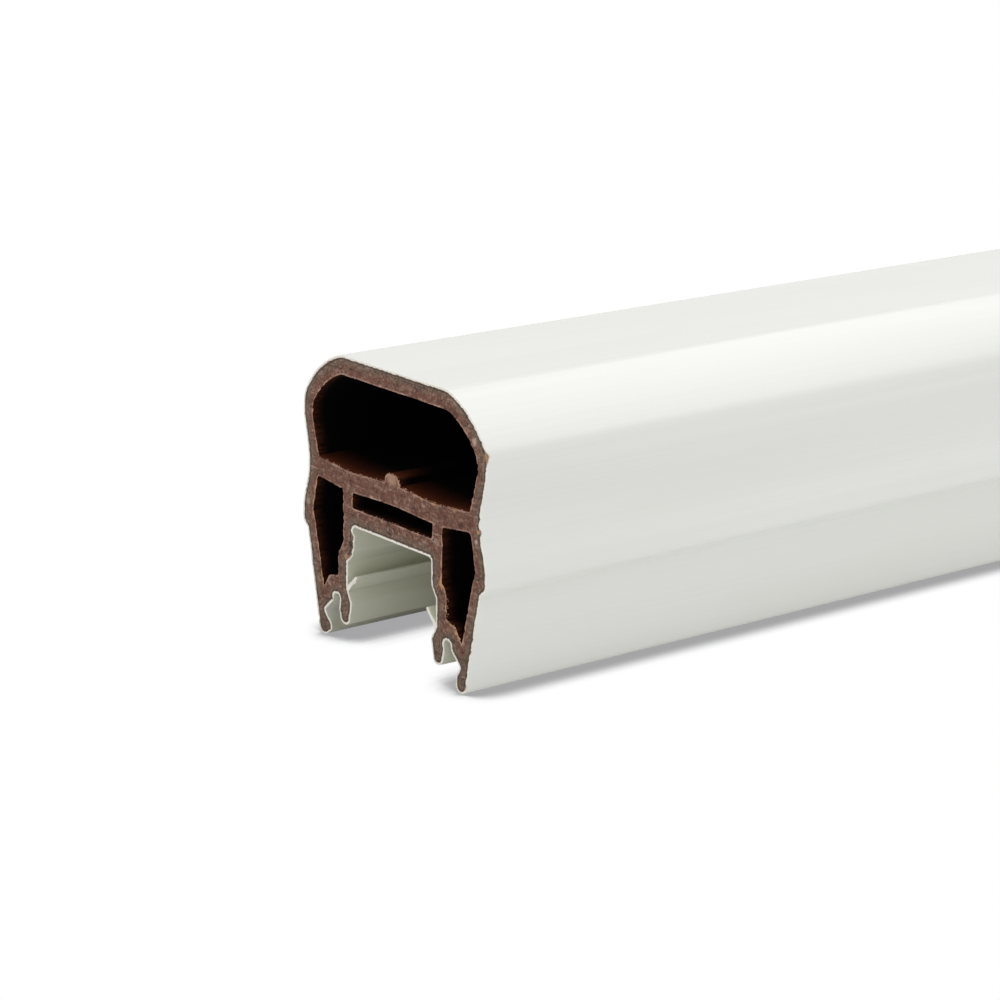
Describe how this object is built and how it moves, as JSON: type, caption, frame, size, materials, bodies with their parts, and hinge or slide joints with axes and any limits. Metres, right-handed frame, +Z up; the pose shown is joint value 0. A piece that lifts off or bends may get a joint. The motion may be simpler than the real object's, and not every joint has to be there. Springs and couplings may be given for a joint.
{
  "type": "composite top rail",
  "caption": "Hollow capped wood-plastic top rail for a fence, gate or deck guard, with a channel below that drops over a sub-rail.",
  "frame": {"origin": "centre of the footprint, on the surface that the two feet stand on, at mid length", "axes": "+Y along the rail, +Z up from the feet to the flat top, +X across the rail"},
  "size_m": [0.089, 0.61, 0.088],
  "materials": {
    "core": "sawn wood-plastic composite",
    "cap": "satin white cap",
    "lip": "satin white, flexible"
  },
  "bodies": {
    "root": {"composite_core": "core", "cap_skin": "cap", "grip_lip_left": "lip", "grip_lip_right": "lip"}
  },
  "joints": []
}
